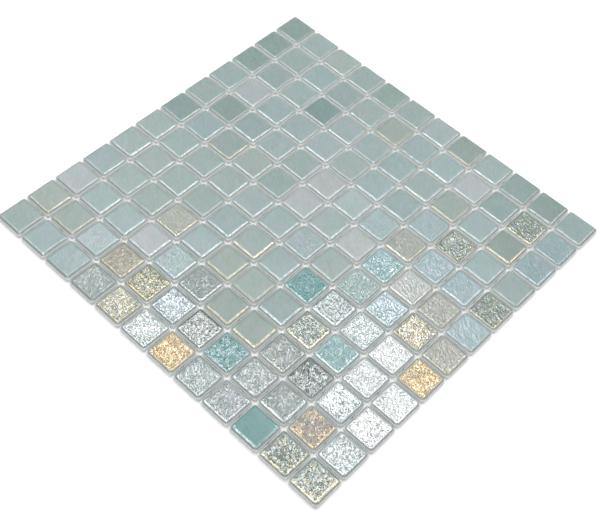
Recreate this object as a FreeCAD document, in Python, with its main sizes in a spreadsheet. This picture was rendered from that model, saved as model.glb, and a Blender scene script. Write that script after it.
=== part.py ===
import FreeCAD, Part
import os
import Sketcher

# A square sheet of pressed glass mosaic tiles, laid face up. Every tile is a piece of its own, and dabs of
# glue on the backs hold the tiles together: one dab bridges each joint, at the middle of the tiles' sides.
# The origin is under the middle of the sheet, on the plane that the dabs rest on. +Z is up, +X runs along
# the rows of tiles and +Y across them. All sizes are in millimetres.

SIZES = [
    ("tiles_per_row", 12, "tiles side by side in a row"),
    ("rows", 12, "rows of tiles in the sheet"),
    ("tile_side", 25.0, "side of a tile"),
    ("tile_thickness", 4.0, "back to face of a tile"),
    ("joint_width", 1.33, "gap between two tiles, left for the grout"),
    ("corner_cut", 1.5, "how far the soft corner takes off each side, in plan"),
    ("shoulder_width", 1.6, "how far the soft edge of the face reaches in"),
    ("shoulder_drop", 0.9, "how far the soft edge of the face reaches down"),
    ("dab_lap", 2.2, "how far a glue dab laps onto the back of each tile"),
    ("dab_length", 4.0, "glue dab, along the joint"),
    ("dab_height", 0.5, "how far a glue dab stands out from the backs"),
    ("dab_edge", 0.4, "how far the sloping sides of a glue dab draw in, down to its underside"),
    ("neck_length", 2.0, "glue that rose into the joint, along the joint"),
    ("neck_rise", 1.2, "how high the glue rose between the tiles"),
]

doc = FreeCAD.newDocument("mosaic_tile_sheet")


def size_sheet():
    """The driving dimensions, one row each: what it is, and the number under its alias."""
    sheet = doc.addObject("Spreadsheet::Sheet", "sizes")
    for line, (alias, value, meaning) in enumerate(SIZES, start=1):
        sheet.set("A%d" % line, meaning)
        sheet.set("B%d" % line, str(value))
        sheet.setAlias("B%d" % line, alias)
    doc.recompute()
    return sheet


sheet = size_sheet()

PITCH = "(sizes.tile_side + sizes.joint_width)"


def new_body(name):
    """An empty body whose label is the name of the sub-part."""
    body = doc.addObject("PartDesign::Body", name)
    body.Label = name
    return body


def centred_rectangle(body, name, length, width):
    """A sketch on the body's own XY plane: a rectangle about the origin, its sizes bound to the sheet."""
    sketch = body.newObject("Sketcher::SketchObject", name)
    base = next(plane for plane in body.Origin.OriginFeatures if plane.Role == "XY_Plane")
    sketch.AttachmentSupport = (base, [""])
    sketch.MapMode = "FlatFace"
    corners = [FreeCAD.Vector(x, y, 0) for x, y in ((-1, -1), (1, -1), (1, 1), (-1, 1))]
    for side in range(4):
        sketch.addGeometry(Part.LineSegment(corners[side], corners[(side + 1) % 4]))
    for side in range(4):
        sketch.addConstraint(Sketcher.Constraint("Coincident", side, 2, (side + 1) % 4, 1))
        sketch.addConstraint(Sketcher.Constraint("Vertical" if side % 2 else "Horizontal", side))
    sketch.addConstraint(Sketcher.Constraint("Symmetric", 0, 1, 1, 2, -1, 1))
    across = sketch.addConstraint(Sketcher.Constraint("DistanceX", 0, 1, 0, 2, 2.0))
    up = sketch.addConstraint(Sketcher.Constraint("DistanceY", 1, 1, 1, 2, 2.0))
    sketch.setExpression("Constraints[%d]" % across, length)
    sketch.setExpression("Constraints[%d]" % up, width)
    return sketch


def pad(body, name, sketch, height):
    """A pad of the sketch, up from its plane."""
    solid = body.newObject("PartDesign::Pad", name)
    solid.Profile = sketch
    solid.setExpression("Length", height)
    return solid


def edges_where(feature, wanted):
    """The names of the feature's edges for which wanted says yes, given the heights of the two ends."""
    doc.recompute()
    names = []
    for number, edge in enumerate(feature.Shape.Edges, start=1):
        low, high = sorted(point.Z for point in edge.Vertexes)
        if wanted(low, high):
            names.append("Edge%d" % number)
    return names


def repeat(body, sketch, count, pitch):
    """Repeats the whole body along its X axis, count times, pitch apart."""
    doc.recompute()
    run = body.newObject("PartDesign::LinearPattern", body.Name + "_run")
    run.TransformMode = "Whole shape"
    run.Direction = (sketch, ["H_Axis"])
    run.setExpression("Occurrences", count)
    run.setExpression("Length", "(%s - 1) * %s" % (count, pitch))
    body.Tip = run


def place(body, x, y, turned=False):
    """Puts the body's origin at x, y, on the plane of the tiles' backs."""
    body.setExpression("Placement.Base.x", x)
    body.setExpression("Placement.Base.y", y)
    body.setExpression("Placement.Base.z", "sizes.dab_height")
    if turned:
        body.Placement.Rotation = FreeCAD.Rotation(FreeCAD.Vector(0, 0, 1), 90)


def first_of(count):
    """Where the first of count tiles stands, from the middle of the sheet."""
    return "-(%s - 1) / 2 * %s" % (count, PITCH)


def tile_row(number):
    """One row of tiles: a square slab with cut corners and a soft edge round its face, repeated."""
    name = "tile_row_%02d" % (number + 1)
    body = new_body(name)
    outline = centred_rectangle(body, name + "_outline", "sizes.tile_side", "sizes.tile_side")
    slab = pad(body, name + "_slab", outline, "sizes.tile_thickness")

    corners = body.newObject("PartDesign::Chamfer", name + "_corners")
    corners.Base = (slab, edges_where(slab, lambda low, high: high > low))
    corners.setExpression("Size", "sizes.corner_cut")

    shoulder = body.newObject("PartDesign::Chamfer", name + "_shoulder")
    shoulder.Base = (corners, edges_where(corners, lambda low, high: low > sheet.tile_thickness / 2))
    shoulder.ChamferType = "Two distances"
    shoulder.setExpression("Size", "sizes.shoulder_drop")
    shoulder.setExpression("Size2", "sizes.shoulder_width")

    repeat(body, outline, "sizes.tiles_per_row", PITCH)
    place(body, first_of("sizes.tiles_per_row"), "%s + %d * %s" % (first_of("sizes.rows"), number, PITCH))
    return body, sheet.tiles_per_row


def glue_dabs(name, count):
    """The dabs along one joint, whose line is the body's X axis: a low dab under the backs of the two
    tiles, and the neck of glue that rose between them."""
    body = new_body(name)
    dab = body.newObject("PartDesign::AdditiveWedge", name + "_dab")
    dab.Placement.Rotation = FreeCAD.Rotation(FreeCAD.Vector(1, 0, 0), -90)
    dab.Ymin = 0
    dab.setExpression("Ymax", "sizes.dab_height")
    half_length = "sizes.dab_length / 2"
    half_width = "(sizes.joint_width / 2 + sizes.dab_lap)"
    for axis, half in (("X", half_length), ("Z", half_width)):
        dab.setExpression(axis + "min", "-" + half)
        dab.setExpression(axis + "max", half)
        dab.setExpression(axis + "2min", "sizes.dab_edge - " + half)
        dab.setExpression(axis + "2max", half + " - sizes.dab_edge")

    gap = centred_rectangle(body, name + "_gap", "sizes.neck_length", "sizes.joint_width")
    pad(body, name + "_neck", gap, "sizes.neck_rise")

    repeat(body, gap, "sizes." + count, PITCH)
    return body, sheet.get(count)


def row_joint_dabs(number):
    """The dabs between one row of tiles and the next."""
    body, count = glue_dabs("glue_dabs_row_joint_%02d" % (number + 1), "tiles_per_row")
    place(body, first_of("sizes.tiles_per_row"), "%s + %.1f * %s" % (first_of("sizes.rows"), number + 0.5, PITCH))
    return body, count


def column_joint_dabs(number):
    """The dabs between one column of tiles and the next."""
    body, count = glue_dabs("glue_dabs_column_joint_%02d" % (number + 1), "rows")
    beside = "%s + %.1f * %s" % (first_of("sizes.tiles_per_row"), number + 0.5, PITCH)
    place(body, beside, first_of("sizes.rows"), turned=True)
    return body, count


def check(body, count):
    """The body is sound, and holds as many separate solids as it should."""
    shape = body.Shape
    if shape.isNull() or not shape.isValid():
        raise RuntimeError("%s has no sound shape" % body.Label)
    if len(shape.Solids) != count:
        raise RuntimeError("%s has %d solids in place of %d" % (body.Label, len(shape.Solids), count))


rows = int(sheet.rows)
columns = int(sheet.tiles_per_row)
sub_parts = [tile_row(number) for number in range(rows)]
sub_parts += [row_joint_dabs(number) for number in range(rows - 1)]
sub_parts += [column_joint_dabs(number) for number in range(columns - 1)]
doc.recompute()

for item in doc.Objects:
    if "Invalid" in item.State or "Error" in item.State:
        raise RuntimeError("%s failed: %s" % (item.Label, item.State))

os.makedirs("parts", exist_ok=True)
for body, count in sub_parts:
    check(body, count)
    body.Shape.exportStep("parts/%s.step" % body.Label)
    print(body.Label, len(body.Shape.Solids), "solids", round(body.Shape.Volume, 1), "mm3", body.Shape.BoundBox)
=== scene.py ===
import math
import random
from typing import NamedTuple

import bmesh
import bpy
from mathutils import Euler, Matrix, Vector


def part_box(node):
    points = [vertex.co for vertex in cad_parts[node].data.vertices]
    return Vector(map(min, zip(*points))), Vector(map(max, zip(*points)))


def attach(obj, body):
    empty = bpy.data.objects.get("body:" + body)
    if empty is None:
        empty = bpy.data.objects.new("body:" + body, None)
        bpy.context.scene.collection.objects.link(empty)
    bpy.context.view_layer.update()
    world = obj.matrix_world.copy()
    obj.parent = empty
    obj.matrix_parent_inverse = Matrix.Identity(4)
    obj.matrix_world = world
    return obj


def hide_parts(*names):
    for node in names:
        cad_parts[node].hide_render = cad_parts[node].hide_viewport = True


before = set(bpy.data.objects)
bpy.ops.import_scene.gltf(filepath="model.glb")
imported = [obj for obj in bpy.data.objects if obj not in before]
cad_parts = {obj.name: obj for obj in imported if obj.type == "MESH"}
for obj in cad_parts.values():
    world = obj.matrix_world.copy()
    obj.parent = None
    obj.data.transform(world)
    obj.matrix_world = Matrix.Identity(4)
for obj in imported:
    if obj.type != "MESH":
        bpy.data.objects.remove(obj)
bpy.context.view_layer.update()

# A square sheet of pressed glass mosaic tiles, face up on a pale table. The glass is mint to aqua. Its faces
# were fired with a thin metal lustre, which shows as pearl, silver, gold or blue where it catches the lamp.

MM = 0.001

# Sizes of the sheet, read from the frame

rows = sorted(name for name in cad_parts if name.startswith("tile_row"))
row_joints = sorted(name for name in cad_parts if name.startswith("glue_dabs_row"))
column_joints = sorted(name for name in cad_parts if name.startswith("glue_dabs_column"))
first_low, first_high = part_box(rows[0])
second_low, second_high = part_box(rows[1])
SIDE = first_high.y - first_low.y
PITCH = second_low.y - first_low.y
JOINT = PITCH - SIDE
TILES_PER_ROW = round((first_high.x - first_low.x + JOINT) / PITCH)
BACK = first_low.z
FACE = first_high.z
dab_low, dab_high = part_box(row_joints[0])
DAB_WIDTH = dab_high.y - dab_low.y
DAB_LENGTH = dab_high.x - dab_low.x - (TILES_PER_ROW - 1) * PITCH
NECK_TOP = dab_high.z

# Form of one tile: round corners, a round shoulder that drops from the face, and an eased edge round the back

CORNER_RADIUS = 1.9 * MM
SHOULDER_WIDTH = 1.75 * MM
SHOULDER_DROP = 1.3 * MM
SHOULDER_FOOT = FACE - SHOULDER_DROP
BACK_EDGE = 0.25 * MM
BEVEL_STEPS = 5

# Inside the shoulder the face still eases down a little, and the cuts give it the points for that. How far a
# point lies inside the outline is measured along lines that turn at the corners with the radius of the face.

FACE_RADIUS = 3.0 * MM
EASING_FULL = 0.6 * MM
EASING_END = 3.0 * MM
EASING_DROP = 0.45 * MM
EASING_CUTS = (2.1 * MM, 2.4 * MM, 2.7 * MM)

# The pressed relief starts and is full that far inside the outline. The face of a tile that is pressed deeper
# than the calm ones has finer cells. Each tile is pressed with its own pattern and a share of the others.

RELIEF_START = 1.6 * MM
RELIEF_FULL = 3.5 * MM
CALM_RELIEF = 0.35
CALM_CELL = 1.0 * MM
FINE_CELL = 0.42 * MM
OTHER_PATTERNS = 0.25
SLANT = math.radians(-40)

# Form of one dab: its neck in the joint, the rim round the neck's root, the shares of its height in which it
# rises straight and then draws in, and how far it draws in

NECK_LENGTH = 2.0 * MM
NECK_RIM = 0.1 * MM
NECK_RISES = (0.8, 0.2)
NECK_CROWN = (0.6, 0.8, 1)

SMOOTH_ANGLE = math.radians(40)
ROUNDING = 0.005 * MM

# Finishes

PALE = (0.86, 0.95, 0.96)
MIST = (0.90, 0.92, 1.00)
AQUA = (0.80, 0.97, 1.00)
ICE = (0.84, 0.94, 1.00)
SILVER = (0.90, 0.96, 1.00)
STRAW = (1.00, 0.80, 0.45)
CHAMPAGNE = (0.96, 0.93, 0.86)


class Finish(NamedTuple):
    """A glass colour, and a thin metal lustre in two colours. The cover is how much of the face the lustre
    takes, the film how strong it is there, the rough how matt the face is, and the rim how strong the lustre
    is along the rim, where it is a painted highlight line. The relief is how deep the face is pressed with
    the pattern of that name."""
    glass: tuple
    lustre: tuple = PALE
    second: tuple = MIST
    cover: float = 0.20
    film: float = 0.04
    rough: float = 0.25
    rim: float = 1.0
    pattern: str = "folded"
    relief: float = 0.3


FINISHES = {
    "plain": Finish((0.343, 0.425, 0.420)),
    "pale": Finish((0.390, 0.460, 0.455)),
    "green": Finish((0.28, 0.365, 0.350), cover=0.15),
    "dark": Finish((0.24, 0.325, 0.310), cover=0.15),
    "lilac": Finish((0.44, 0.485, 0.50), cover=0.25, rough=0.30),
    "rim": Finish((0.335, 0.405, 0.385), STRAW, cover=0.25, rim=1.3),
    "ochre": Finish((0.28, 0.345, 0.325), STRAW, cover=0.25, rim=1.6),
    "deep": Finish((0.145, 0.315, 0.305), (0.85, 0.98, 1.00), cover=0.15, film=0.03, rough=0.20, rim=1.6),
    "blue": Finish((0.325, 0.415, 0.425), (0.78, 0.95, 1.00), cover=0.45, film=0.045, rough=0.20,
                   pattern="brushed", relief=0.5),
    "sky": Finish((0.375, 0.46, 0.47), (0.80, 0.92, 1.00), cover=0.55, film=0.045, rough=0.20, relief=0.8),
    "teal": Finish((0.168, 0.328, 0.328), AQUA, cover=0.40, film=0.120, rough=0.10, rim=1.6,
                   pattern="hammered", relief=0.9),
    "aqua": Finish((0.30, 0.455, 0.465), AQUA, cover=0.40, film=0.165, rough=0.10, rim=1.4,
                   pattern="hammered", relief=0.8),
    "beige": Finish((0.34, 0.37, 0.34), (1.00, 0.84, 0.62), cover=0.50, film=0.050, rough=0.16, rim=1.4,
                    pattern="brushed", relief=0.7),
    "tan": Finish((0.30, 0.31, 0.275), (1.00, 0.84, 0.60), (1.00, 0.70, 0.42), cover=0.50, film=0.065,
                  rough=0.16, rim=1.4, pattern="brushed", relief=0.7),
    "mist": Finish((0.43, 0.46, 0.455), (1.00, 0.90, 0.76), cover=0.50, film=0.060, rough=0.15, rim=1.4,
                   pattern="brushed", relief=0.8),
    "mint": Finish((0.33, 0.42, 0.41), (0.86, 1.00, 0.98), cover=0.55, film=0.110, rough=0.08, rim=1.3,
                   pattern="hammered", relief=1.0),
    "pearl": Finish((0.54, 0.58, 0.59), (0.93, 0.97, 1.00), (1.00, 0.97, 0.94), cover=0.95, film=0.28,
                    rough=0.14, rim=1.5, pattern="hammered", relief=0.9),
    "frost": Finish((0.40, 0.47, 0.47), (0.90, 0.97, 1.00), (1.00, 0.97, 0.93), cover=0.78, film=0.31,
                    rough=0.11, rim=1.5, pattern="hammered", relief=1.0),
    "ice": Finish((0.31, 0.40, 0.425), ICE, (0.90, 0.97, 1.00), cover=0.50, film=0.17, rough=0.07, rim=1.5,
                  pattern="brushed", relief=1.0),
    "glint": Finish((0.22, 0.29, 0.31), ICE, (0.95, 0.98, 1.00), cover=0.50, film=0.170, rough=0.07, rim=1.5,
                    pattern="brushed", relief=1.0),
    "silver": Finish((0.24, 0.295, 0.295), SILVER, CHAMPAGNE, cover=0.55, film=0.085, rough=0.07, rim=1.5,
                     pattern="brushed", relief=1.0),
    "pewter": Finish((0.23, 0.28, 0.28), SILVER, CHAMPAGNE, cover=0.48, film=0.090, rough=0.06, rim=1.5,
                     pattern="brushed", relief=1.0),
    "steel": Finish((0.07, 0.11, 0.10), SILVER, (0.96, 0.94, 0.88), cover=0.56, film=0.135, rough=0.06,
                    rim=1.5, pattern="brushed", relief=1.0),
    "moss": Finish((0.19, 0.245, 0.235), (0.98, 0.95, 0.82), cover=0.45, film=0.075, rough=0.06, rim=1.8,
                   pattern="brushed", relief=1.0),
    "dawn": Finish((0.33, 0.385, 0.40), (0.86, 0.91, 1.00), (1.00, 0.88, 0.66), cover=0.55, film=0.130,
                   rough=0.07, rim=1.8, pattern="hammered", relief=0.9),
    "gold": Finish((0.30, 0.33, 0.29), (1.00, 0.82, 0.52), (0.96, 0.96, 0.91), cover=0.82, film=0.24,
                   rough=0.09, rim=1.6, pattern="hammered", relief=1.0),
    "amber": Finish((0.48, 0.40, 0.27), (1.00, 0.90, 0.66), (1.00, 0.70, 0.36), cover=0.72, film=0.20,
                    rough=0.10, rim=1.4, pattern="hammered", relief=1.0),
    "dusk": Finish((0.20, 0.26, 0.24), (0.98, 0.84, 0.56), (0.86, 0.92, 0.97), cover=0.62, film=0.18,
                   rough=0.08, rim=2.6, pattern="hammered", relief=1.0),
    "antique": Finish((0.23, 0.26, 0.21), (1.00, 0.80, 0.46), (0.92, 0.95, 0.90), cover=0.70, film=0.19,
                      rough=0.08, rim=2.0, pattern="hammered", relief=1.0),
    "rose": Finish((0.32, 0.34, 0.31), (1.00, 0.78, 0.40), (1.00, 0.45, 0.46), cover=0.38, film=0.30,
                   rough=0.11, rim=1.6, pattern="hammered", relief=1.0),
}

# Where the tiles that aren't plain lie: place in the row from the -X end, and row from the -Y side

PLACES = {
    "pale": [(5, 9), (4, 7), (5, 6), (4, 8), (5, 10), (7, 8), (3, 12)],
    "green": [(11, 12), (10, 12), (1, 11), (1, 10), (2, 8), (1, 7), (8, 4), (5, 12), (10, 11), (1, 12)],
    "dark": [(4, 10)],
    "lilac": [(9, 11), (4, 3), (6, 8), (6, 7), (2, 9), (1, 3), (8, 7)],
    "rim": [(1, 2), (2, 2), (7, 4), (6, 4), (6, 11), (9, 10), (3, 7), (6, 5)],
    "ochre": [(8, 12), (11, 10), (7, 3), (8, 3)],
    "deep": [(10, 1)],
    "blue": [(7, 6), (12, 10), (9, 9), (12, 11), (11, 8), (3, 2), (5, 3), (3, 1), (8, 8)],
    "sky": [(12, 7), (10, 8)],
    "teal": [(8, 2), (8, 5)],
    "aqua": [(10, 4), (9, 7)],
    "beige": [(4, 4), (9, 8), (12, 6), (11, 7)],
    "tan": [(4, 2)],
    "mist": [(10, 7)],
    "mint": [(9, 6)],
    "pearl": [(11, 5), (12, 4), (12, 3), (11, 4)],
    "frost": [(10, 5), (11, 3), (12, 2), (6, 1)],
    "ice": [(10, 6)],
    "glint": [(6, 2)],
    "silver": [(9, 5), (10, 2), (8, 1), (4, 1)],
    "pewter": [(9, 2), (6, 3)],
    "steel": [(7, 2), (10, 3)],
    "moss": [(9, 3)],
    "dawn": [(9, 1)],
    "gold": [(5, 1), (11, 6)],
    "amber": [(7, 1), (12, 5)],
    "dusk": [(10, 9), (12, 8), (11, 11), (9, 4), (11, 1), (12, 1)],
    "antique": [(5, 2)],
    "rose": [(11, 2)],
}

# How much tiles of the same finish vary: factors on what it says, and a warmth that makes the glass redder
# and less blue

SHADE_RANGE = (0.95, 1.05)
WARMTH_RANGE = (-0.025, 0.025)
COVER_RANGE = (0.75, 1.15)
ROUGH_RANGE = (0.85, 1.15)
FILM_RANGE = (0.75, 1.25)
RIM_HIGHLIGHT_RANGE = (0.3, 1.0)
RELIEF_RANGE = (0.75, 1.25)

# What all the tiles share: the colour and roughness of the bare glass on the shoulder and the sides, with the
# sides painted far paler than the glass as painted light for what shines through it into the joints, the two
# tints of the glaze, between which sums of noise and cover a patch of lustre grows dense, how strong and how
# rough the lustre is along a rim, where it is a painted highlight line, and from where to where across the
# tile that painted highlight runs, so that it lies on the two sides that face the camera and mirror the lamps

SHOULDER_GLASS = (0.325, 0.355, 0.345, 1)
# Painted light: the sides are painted far paler than the glass, for the light that shines through it into the
# joints
PAINTED_LIGHT_SIDE_GLASS = (0.75, 0.78, 0.77, 1)
SHOULDER_ROUGH = 0.14
SIDE_ROUGH = 0.34
GREEN_TINT = (0.94, 1.01, 0.965, 1)
BLUE_TINT = (1.05, 1.00, 1.045, 1)
PATCH_START = 0.75
PATCH_FULL = 1.10
RIM_HIGHLIGHT_FILM = 0.26
RIM_ROUGH = 0.12
# Painted highlight: the rim lustre rises across the tile from here, so it lies only on the +X and -Y rims
# that face the camera
HIGHLIGHT_SIDE_START = -4 * MM
HIGHLIGHT_SIDE_FULL = 2 * MM

# How far light goes into the glass and the glue, and how deep their finest creases and pits are

GLASS_DEPTH = 3.0 * MM
GLUE_DEPTH = 1.0 * MM
CRINKLE = 0.075 * MM
PIT = 0.03 * MM

# The camera: where it looks, from which side, how high, how far away, and how much it leans

LOOK_AT = Vector((0.0207, -0.0265, FACE))
CAMERA_AZIMUTH = math.radians(36.95)
CAMERA_ELEVATION = math.radians(54.09)
CAMERA_LEAN = math.radians(7.70)
CAMERA_DISTANCE = 0.8007
LENS = 66.8
SENSOR_WIDTH = 36

# The light: softboxes in an even room, each with its place, size and white. The near faces mirror the rear
# and the key one. The left, top and near ones show on the shoulders of the tiles' -Y sides, and the right,
# far and deep ones on the shoulders of their +X sides.

SOFTBOXES = {
    "rear": ((-0.20, 0.48, 1.05), 0.36, 4.2),
    "left": ((-0.78, 0.10, 1.15), 1.00, 1.45),
    "key": ((-0.58, 0.33, 1.11), 0.24, 3.8),
    "right": ((0.50, 0.55, 1.15), 0.90, 1.5),
    "top": ((-0.16, -0.06, 1.15), 0.45, 2.7),
    "far": ((0.22, 0.88, 1.10), 0.50, 1.1),
    "deep": ((-0.36, 1.04, 1.12), 0.34, 1.6),
    "near": ((-0.15, -0.55, 1.05), 0.70, 1.3),
}

# How white the room is, how much of the table's white is its own, and the side of the table, in metres

ROOM_WHITE = 0.34
OWN_WHITE = 0.20
TABLE_SIZE = 1.7


# Selecting and shaping

def activate(piece):
    """Selects just this piece."""
    bpy.ops.object.select_all(action="DESELECT")
    piece.select_set(True)
    bpy.context.view_layer.objects.active = piece


def new_piece(name, add, **where):
    """Adds a primitive and names it."""
    bpy.ops.object.select_all(action="DESELECT")
    add(**where)
    piece = bpy.context.active_object
    piece.name = name
    bpy.ops.object.transform_apply(location=True, rotation=True, scale=True)
    return piece


def select(piece, kind, wanted):
    """In edit mode, selects just the vertices, edges or faces for which wanted says yes."""
    bpy.ops.mesh.select_mode(type=kind)
    bpy.ops.mesh.select_all(action="DESELECT")
    mesh = bmesh.from_edit_mesh(piece.data)
    elements = {"VERT": mesh.verts, "EDGE": mesh.edges, "FACE": mesh.faces}[kind]
    for element in elements:
        if wanted(element):
            element.select_set(True)
    mesh.select_flush_mode()
    bmesh.update_edit_mesh(piece.data)


def near(value, target):
    """Whether two lengths are the same but for rounding."""
    return abs(value - target) < ROUNDING


def lies_at(edge, height):
    """Whether an edge lies level at that height."""
    return all(near(corner.co.z, height) for corner in edge.verts)


def stands(edge):
    """Whether an edge is upright."""
    low, high = edge.verts
    return near(low.co.x, high.co.x) and near(low.co.y, high.co.y)


def copy_of(model):
    """A copy of a modelled piece, with its own mesh."""
    one = model.copy()
    one.data = model.data.copy()
    bpy.context.scene.collection.objects.link(one)
    return one


def joined(parts, name):
    """The parts as one piece."""
    bpy.ops.object.select_all(action="DESELECT")
    for part in parts:
        part.select_set(True)
    bpy.context.view_layer.objects.active = parts[0]
    bpy.ops.object.join()
    piece = bpy.context.active_object
    piece.name = name
    return piece


def finish_piece(piece, material):
    """Shades a piece smooth but for its sharp edges, and gives it its material."""
    activate(piece)
    bpy.ops.object.shade_smooth_by_angle(angle=SMOOTH_ANGLE)
    piece.data.materials.append(material)


# The tiles

def model_tile(cell):
    """One tile about the origin: a slab with round corners, a soft fire-polished shoulder and an eased back,
    and a face cut into cells, so that it can take a relief."""
    middle = (0, 0, (BACK + FACE) / 2)
    size = (SIDE, SIDE, FACE - BACK)
    tile = new_piece("tile", bpy.ops.mesh.primitive_cube_add, size=1, location=middle, scale=size)
    bpy.ops.object.mode_set(mode="EDIT")
    select(tile, "EDGE", stands)
    bpy.ops.mesh.bevel(offset=CORNER_RADIUS, segments=BEVEL_STEPS, affect="EDGES")
    select(tile, "EDGE", lambda edge: lies_at(edge, BACK))
    bpy.ops.mesh.bevel(offset=BACK_EDGE, segments=1, affect="EDGES")
    select(tile, "EDGE", lambda edge: lies_at(edge, FACE))
    bpy.ops.mesh.bevel(offset=SHOULDER_WIDTH, segments=BEVEL_STEPS, affect="EDGES")
    select(tile, "VERT", lambda corner: corner.co.z > FACE - SHOULDER_WIDTH - ROUNDING)
    flatten = (1, 1, SHOULDER_DROP / SHOULDER_WIDTH)
    bpy.ops.transform.resize(value=flatten, center_override=(0, 0, FACE))

    select(tile, "FACE", lambda face: face.calc_center_median().z < SHOULDER_FOOT)
    bpy.ops.mesh.hide()
    cells = round(SIDE / cell)
    cuts = [(number / cells - 0.5) * SIDE for number in range(1, cells)]
    cuts += [side * (SIDE / 2 - inset) for inset in EASING_CUTS for side in (-1, 1)]
    for along in ((1, 0, 0), (0, 1, 0)):
        for cut in cuts:
            bpy.ops.mesh.select_all(action="SELECT")
            bpy.ops.mesh.bisect(plane_co=Vector(along) * cut, plane_no=along)
    bpy.ops.mesh.reveal()
    bpy.ops.object.mode_set(mode="OBJECT")
    write_values(tile, "inset", [inset_from_edge(corner.co) for corner in tile.data.vertices])
    return tile


def inset_from_edge(point):
    """How far a point of the tile lies inside its outline, in plan."""
    straight = SIDE / 2 - FACE_RADIUS
    out_x = abs(point.x) - straight
    out_y = abs(point.y) - straight
    if out_x > 0 and out_y > 0:
        return FACE_RADIUS - math.hypot(out_x, out_y)
    return FACE_RADIUS - max(out_x, out_y)


def smooth(value, low, high):
    """0 below low, 1 above high, and a smooth rise between them."""
    share = min(max((value - low) / (high - low), 0), 1)
    return share * share * (3 - 2 * share)


def write_values(tile, name, values):
    """Writes a number on each of the tile's points."""
    attribute = tile.data.attributes.new(name, "FLOAT", "POINT")
    attribute.data.foreach_set("value", values)


def write_colour(tile, name, colour):
    """Writes one colour with its alpha on all of the tile's points."""
    attribute = tile.data.attributes.new(name, "FLOAT_COLOR", "POINT")
    attribute.data.foreach_set("color", list(colour) * len(tile.data.vertices))


def paint_tile(tile, finish, variation):
    """Writes a tile's finish on its points, a little varied: the glass and lustre colours, the cover, film,
    roughness and relief as one colour, and how strong the lustre is at the rim. That rim lustre is a painted
    highlight: it lies only on the rims of the +X and -Y sides, which face the camera and mirror the lamps."""
    shade = variation.uniform(*SHADE_RANGE)
    warmth = variation.uniform(*WARMTH_RANGE)
    red, green, blue = finish.glass
    write_colour(tile, "glass", (red * (shade + warmth), green * shade, blue * (shade - warmth), 1))
    write_colour(tile, "lustre", (*finish.lustre, 1))
    write_colour(tile, "second", (*finish.second, 1))
    cover = finish.cover * variation.uniform(*COVER_RANGE)
    rough = finish.rough * variation.uniform(*ROUGH_RANGE)
    film = finish.film * variation.uniform(*FILM_RANGE)
    write_colour(tile, "finish", (cover, film, rough, finish.relief))
    # Painted highlight: the rim lustre, strong on the +X and -Y rims only
    strength = RIM_HIGHLIGHT_FILM * finish.rim * variation.uniform(*RIM_HIGHLIGHT_RANGE)
    across = [corner.co.x - corner.co.y for corner in tile.data.vertices]
    write_values(tile, "rim", [strength * smooth(place, HIGHLIGHT_SIDE_START, HIGHLIGHT_SIDE_FULL) for place in across])


def relief_groups(tile, finish, variation):
    """Vertex groups that say how far each point of the shoulder and the face sinks: by the easing, which
    leaves the shoulder's foot where it is, and by each of the patterns."""
    upper = [corner for corner in tile.data.vertices if corner.co.z > SHOULDER_FOOT]
    easing = tile.vertex_groups.new(name="easing")
    for corner in upper:
        outside = 1 - smooth(inset_from_edge(corner.co), EASING_FULL, EASING_END)
        height = (corner.co.z - SHOULDER_FOOT) / SHOULDER_DROP
        easing.add([corner.index], outside * min(2 * height, 1), "REPLACE")
    depth = finish.relief * variation.uniform(*RELIEF_RANGE)
    for name in PATTERNS:
        share = 1.0 if name == finish.pattern else OTHER_PATTERNS
        group = tile.vertex_groups.new(name=name)
        for corner in upper:
            inside = smooth(inset_from_edge(corner.co), RELIEF_START, RELIEF_FULL)
            group.add([corner.index], min(inside * depth * share, 1), "REPLACE")


def finish_of(place, row):
    """The finish of the tile at that place of that row."""
    for name, places in PLACES.items():
        if (place, row) in places:
            return FINISHES[name]
    return FINISHES["plain"]


class Pattern(NamedTuple):
    """A texture, how deep it is pressed at most, and how far its cells are drawn out along the slant."""
    texture: bpy.types.Texture
    depth: float
    stretch: float


def relief_texture(name, kind, **settings):
    """A procedural texture that drives a relief."""
    texture = bpy.data.textures.new(name, kind)
    for setting, value in settings.items():
        setattr(texture, setting, value)
    return texture


FOLDS = relief_texture("folded", "CLOUDS", noise_scale=3.0 * MM, noise_depth=1)
HAMMERING = relief_texture("hammered", "DISTORTED_NOISE", noise_scale=1.6 * MM, distortion=1.3)
BRUSHING = relief_texture("brushed", "CLOUDS", noise_scale=1.2 * MM, noise_depth=2)

PATTERNS = {
    "folded": Pattern(FOLDS, depth=0.30 * MM, stretch=2.5),
    "hammered": Pattern(HAMMERING, depth=0.46 * MM, stretch=1.3),
    "brushed": Pattern(BRUSHING, depth=0.50 * MM, stretch=2.2),
}


def sink(piece, group, strength, mid_level, **texture):
    """Displaces the points of a vertex group along Z, for good."""
    modifier = piece.modifiers.new(group, "DISPLACE")
    modifier.direction = "Z"
    modifier.mid_level = mid_level
    modifier.strength = strength
    modifier.vertex_group = group
    for setting, value in texture.items():
        setattr(modifier, setting, value)
    activate(piece)
    bpy.ops.object.modifier_apply(modifier=modifier.name)


def press_relief(piece):
    """Eases the faces of the tiles of a row down to their shoulders and sinks them by their patterns, never
    above the face's plane."""
    sink(piece, "easing", -EASING_DROP, mid_level=0.0)
    for name, pattern in PATTERNS.items():
        bpy.ops.object.select_all(action="DESELECT")
        bpy.ops.object.empty_add(rotation=(0, 0, SLANT))
        guide = bpy.context.active_object
        guide.scale = (pattern.stretch, 1, 1)
        sink(piece, name, pattern.depth, mid_level=1.0, texture=pattern.texture, texture_coords="OBJECT",
             texture_coords_object=guide)
        bpy.data.objects.remove(guide)


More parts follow.
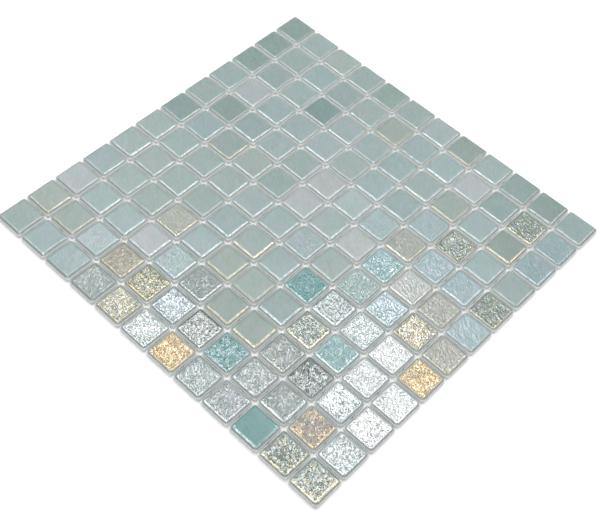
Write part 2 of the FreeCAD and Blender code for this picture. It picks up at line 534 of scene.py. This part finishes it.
def lay_row(calm, fine, node, row):
    """A row of tiles, each with its own finish and relief, as one piece."""
    variation = random.Random(row)
    low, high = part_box(node)
    tiles = []
    for place in range(1, TILES_PER_ROW + 1):
        finish = finish_of(place, row)
        tile = copy_of(fine if finish.relief > CALM_RELIEF else calm)
        paint_tile(tile, finish, variation)
        relief_groups(tile, finish, variation)
        centre = Vector((low.x + SIDE / 2 + (place - 1) * PITCH, (low.y + high.y) / 2, 0))
        tile.data.transform(Matrix.Translation(centre))
        tiles.append(tile)
    piece = joined(tiles, "glass_" + node)
    press_relief(piece)
    return piece


# The glue

def model_dab():
    """One dab of glue about the origin, its joint along X: a low oval dab under the backs of two tiles, and
    the neck that rose between them."""
    size = (DAB_LENGTH, DAB_WIDTH, 2 * BACK)
    dab = new_piece("dab", bpy.ops.mesh.primitive_uv_sphere_add, segments=16, ring_count=8, radius=0.5,
                    location=(0, 0, BACK), scale=size)
    bpy.ops.object.mode_set(mode="EDIT")
    bpy.ops.mesh.select_all(action="SELECT")
    bpy.ops.mesh.bisect(plane_co=(0, 0, BACK), plane_no=(0, 0, 1), use_fill=True, clear_outer=True)
    select(dab, "FACE", lambda face: near(face.calc_center_median().z, BACK) and face.normal.z > 0.9)
    bpy.ops.mesh.inset(thickness=NECK_RIM)
    root = (NECK_LENGTH / DAB_LENGTH, JOINT / DAB_WIDTH, 1)
    bpy.ops.transform.resize(value=root, center_override=(0, 0, BACK))
    for share in NECK_RISES:
        rise = (NECK_TOP - BACK) * share
        bpy.ops.mesh.extrude_region_move(TRANSFORM_OT_translate={"value": (0, 0, rise)})
    bpy.ops.transform.resize(value=NECK_CROWN, center_override=(0, 0, NECK_TOP))
    bpy.ops.object.mode_set(mode="OBJECT")
    return dab


def lay_dabs(model, node, turned):
    """The dabs along one joint, as one piece."""
    low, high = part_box(node)
    middle = (low + high) / 2
    run = Vector((0, 1, 0)) if turned else Vector((1, 0, 0))
    turn = Matrix.Rotation(math.radians(90) if turned else 0, 4, "Z")
    count = round(((high - low).dot(run) - DAB_LENGTH) / PITCH) + 1
    dabs = []
    for number in range(count):
        dab = copy_of(model)
        centre = Vector((middle.x, middle.y, 0)) + run * (number - (count - 1) / 2) * PITCH
        dab.data.transform(Matrix.Translation(centre) @ turn)
        dabs.append(dab)
    return joined(dabs, "moulded_" + node)


# Materials

class Value:
    """A socket of a material. Arithmetic on it adds Math nodes."""

    def __init__(self, paint, socket):
        self.paint = paint
        self.socket = socket

    def math(self, operation, first, second):
        return self.paint.add("Math", {"operation": operation}, {0: first, 1: second})

    def __add__(self, other):
        return self.math("ADD", self, other)

    def __sub__(self, other):
        return self.math("SUBTRACT", self, other)

    def __rsub__(self, other):
        return self.math("SUBTRACT", other, self)

    def __mul__(self, other):
        return self.math("MULTIPLY", self, other)

    __radd__ = __add__
    __rmul__ = __mul__

    def rise(self, low, high):
        """0 where this is below low, 1 where it is above high, smooth between."""
        limits = {"Value": self, "From Min": low, "From Max": high}
        return self.paint.add("MapRange", {"interpolation_type": "SMOOTHSTEP"}, limits)


class Paint:
    """The nodes of a new material or world."""

    def __init__(self, owner):
        owner.use_nodes = True
        self.owner = owner
        self.nodes = owner.node_tree.nodes
        self.links = owner.node_tree.links
        self.nodes.clear()

    def node(self, kind, settings=None, sockets=None):
        """A node with its settings, and values or links for its sockets."""
        node = self.nodes.new("ShaderNode" + kind)
        for setting, value in (settings or {}).items():
            setattr(node, setting, value)
        for key, value in (sockets or {}).items():
            if isinstance(value, Value):
                self.links.new(value.socket, node.inputs[key])
            else:
                node.inputs[key].default_value = value
        return node

    def add(self, kind, settings=None, sockets=None, output=0):
        """A new node, as the value of one of its outputs."""
        return Value(self, self.node(kind, settings, sockets).outputs[output])

    def attribute(self, name, output="Color"):
        return self.add("Attribute", {"attribute_name": name}, output=output)

    def noise(self, scale, detail, distortion=0.0, stretch=1.0):
        """Noise on the object's own coordinates, scale in cells to the metre, drawn out along the slant."""
        place = self.add("TexCoord", output="Object")
        turned = self.add("Mapping", sockets={"Vector": place, "Rotation": (0, 0, -SLANT)})
        drawn = self.add("Mapping", sockets={"Vector": turned, "Scale": (1 / stretch, 1, 1)})
        sockets = {"Vector": drawn, "Scale": scale, "Detail": detail, "Distortion": distortion}
        return self.add("TexNoise", {"noise_dimensions": "3D"}, sockets, "Fac")

    def split(self, vector):
        """The three components of a vector."""
        parts = self.node("SeparateXYZ", sockets={0: vector})
        return [Value(self, output) for output in parts.outputs]

    def grey(self, value):
        """A value as a grey colour."""
        return self.add("CombineXYZ", sockets={0: value, 1: value, 2: value})

    def mix(self, factor, first, second, blend="MIX"):
        """A mix of two colours."""
        settings = {"data_type": "RGBA", "blend_type": blend}
        return self.add("Mix", settings, {0: factor, 6: first, 7: second}, 2)

    def bump(self, height, distance):
        return self.add("Bump", sockets={"Height": height, "Distance": distance})

    def principled(self, **sockets):
        """A Principled shader."""
        named = {name.replace("_", " "): value for name, value in sockets.items()}
        return self.add("BsdfPrincipled", sockets=named)

    def milky(self, depth, **sockets):
        """A Principled shader that light goes into, that deep."""
        return self.principled(
            Subsurface_Weight=1.0, Subsurface_Radius=(1.0, 1.0, 1.0), Subsurface_Scale=depth, **sockets)

    def finish(self, kind, shader):
        """Puts the shader at the output, and gives back what it belongs to."""
        self.node("Output" + kind, sockets={0: shader})
        return self.owner


def glass_paint():
    """Pressed milky glass. On the face lies a watery glaze in green and blue tints, part covered by patches
    of a thin metal lustre, flecked and in two colours. Along the rims that face the camera, a line of the
    lustre, broken into beads, is a painted highlight. The shoulder, the sides and the back are bare glass.
    The sides are painted far paler than the glass, as painted light for what shines through it into the
    joints."""
    paint = Paint(bpy.data.materials.new("fired_glass"))
    cover, strength, rough = paint.split(paint.attribute("finish", "Vector"))
    relief = paint.attribute("finish", "Alpha")
    inset = paint.attribute("inset", "Fac")
    shoulder = inset.rise(0.1 * MM, 0.6 * MM)
    glazed = inset.rise(0.8 * MM, 1.8 * MM)
    face = inset.rise(1.7 * MM, 3.3 * MM)

    water = paint.noise(380, detail=3, distortion=1.5, stretch=2.5)
    grain = paint.noise(2600, detail=2)
    tone = 0.72 + 0.42 * water + 0.14 * grain
    clouds = paint.noise(130, detail=3, distortion=0.8, stretch=1.6)
    tint = paint.mix(clouds.rise(0.30, 0.70), GREEN_TINT, BLUE_TINT)
    glaze = paint.mix(1.0, paint.attribute("glass"), tint, "MULTIPLY")
    glaze = paint.mix(1.0, glaze, paint.grey(tone), "MULTIPLY")
    # The sides take the painted light colour, far paler than the glass, for the light that shines through it
    # into the joints
    body = paint.mix(glazed, paint.mix(shoulder, PAINTED_LIGHT_SIDE_GLASS, SHOULDER_GLASS), glaze)

    patches = paint.noise(230, detail=4, distortion=1.2)
    specks = paint.noise(1000, detail=1, distortion=0.8, stretch=2.0)
    flecks = 0.4 + 1.2 * specks.rise(0.38, 0.62)
    film = (patches + cover).rise(PATCH_START, PATCH_FULL) * strength * flecks * face
    # A painted highlight: a line of lustre along the rims that face the camera, broken into beads
    run = inset + 0.7 * MM * (patches - 0.5)
    highlight_line = run.rise(1.0 * MM, 1.7 * MM) * (1 - run.rise(2.6 * MM, 3.2 * MM)) * paint.attribute("rim", "Fac")
    highlight_beads = paint.noise(650, detail=3).rise(0.38, 0.62)
    film = film + highlight_line * (0.25 + 0.75 * highlight_beads)
    second = paint.noise(310, detail=3, distortion=1.0).rise(0.42, 0.58) * face
    lustre = paint.mix(second, paint.attribute("lustre"), paint.attribute("second"))

    crinkles = paint.noise(600, detail=1, distortion=1.4, stretch=2.6) * relief * face
    creased = paint.bump(crinkles + 0.05 * grain, CRINKLE)
    bare = SIDE_ROUGH + (SHOULDER_ROUGH - SIDE_ROUGH) * inset.rise(0.8 * MM, 1.6 * MM)
    satin = bare + face * (rough - SHOULDER_ROUGH)
    under = paint.milky(GLASS_DEPTH, Base_Color=body, Roughness=satin, Normal=creased)
    sheen = RIM_ROUGH + face * (rough - RIM_ROUGH)
    over = paint.principled(Base_Color=lustre, Metallic=1.0, Roughness=sheen, Normal=creased)
    return paint.finish("Material", paint.add("MixShader", sockets={0: film, 1: under, 2: over}))


def glue_paint():
    """Cured polyurethane: milky white, a little uneven."""
    paint = Paint(bpy.data.materials.new("cured_glue"))
    milk = paint.noise(500, detail=2)
    colour = paint.mix(milk, (0.60, 0.62, 0.61, 1), (0.70, 0.72, 0.71, 1))
    pits = paint.bump(paint.noise(2500, detail=2), PIT)
    return paint.finish("Material", paint.milky(
        GLUE_DEPTH, Base_Color=colour, Roughness=0.35 + 0.2 * milk, Normal=pits))


def table_paint():
    """A white table top. To the camera, and in what reflects it, a little of its white is its own."""
    paint = Paint(bpy.data.materials.new("white_table"))
    colour = paint.mix(paint.noise(30, detail=2), (0.90, 0.90, 0.90, 1), (0.92, 0.92, 0.92, 1))
    camera_ray = paint.add("LightPath", output="Is Camera Ray")
    glossy_ray = paint.add("LightPath", output="Is Glossy Ray")
    transmission_ray = paint.add("LightPath", output="Is Transmission Ray")
    glow = paint.grey((camera_ray + glossy_ray + transmission_ray) * OWN_WHITE)
    return paint.finish("Material", paint.principled(
        Base_Color=colour, Roughness=0.7, Specular_IOR_Level=0.2, Emission_Color=glow, Emission_Strength=1.0))


# Building the sheet

calm = model_tile(CALM_CELL)
fine = model_tile(FINE_CELL)
glass = glass_paint()
for number, node in enumerate(rows, start=1):
    row_piece = lay_row(calm, fine, node, number)
    finish_piece(row_piece, glass)
    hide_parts(node)
    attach(row_piece, "root")
bpy.data.objects.remove(calm)
bpy.data.objects.remove(fine)

dab = model_dab()
glue = glue_paint()
for node in row_joints + column_joints:
    dab_piece = lay_dabs(dab, node, node in column_joints)
    finish_piece(dab_piece, glue)
    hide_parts(node)
    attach(dab_piece, "root")
bpy.data.objects.remove(dab)

table = new_piece("table", bpy.ops.mesh.primitive_plane_add, size=TABLE_SIZE)
table.data.materials.append(table_paint())


# Light and camera

def hang_softbox(name, place, size, white):
    """A square soft lamp that faces the sheet and looks as bright as the given white."""
    data = bpy.data.lights.new(name, "AREA")
    data.size = size
    data.energy = white * math.pi * size * size
    lamp = bpy.data.objects.new(name, data)
    bpy.context.scene.collection.objects.link(lamp)
    lamp.location = place
    lamp.rotation_euler = Vector(place).to_track_quat("Z", "Y").to_euler()


def studio_room():
    """An even grey room round the table, which the camera sees as white."""
    room = Paint(bpy.data.worlds.new("studio"))
    camera_ray = room.add("LightPath", output="Is Camera Ray")
    white = {"Color": (1.0, 1.0, 1.0, 1), "Strength": (1 - ROOM_WHITE) * camera_ray + ROOM_WHITE}
    return room.finish("World", room.add("Background", sockets=white))


def aim_camera():
    """The camera, leaning a little to one side."""
    data = bpy.data.cameras.new("camera")
    data.lens = LENS
    data.sensor_width = SENSOR_WIDTH
    camera = bpy.data.objects.new("camera", data)
    bpy.context.scene.collection.objects.link(camera)
    turn = Euler((math.pi / 2 - CAMERA_ELEVATION, 0, CAMERA_AZIMUTH)).to_matrix()
    turn = turn @ Euler((0, 0, CAMERA_LEAN)).to_matrix()
    place = LOOK_AT + turn @ Vector((0, 0, CAMERA_DISTANCE))
    camera.matrix_world = Matrix.Translation(place) @ turn.to_4x4()
    return camera


for name, (place, size, white) in SOFTBOXES.items():
    hang_softbox(name, place, size, white)
bpy.context.scene.world = studio_room()
bpy.context.scene.camera = aim_camera()
bpy.context.scene.view_settings.view_transform = "Standard"
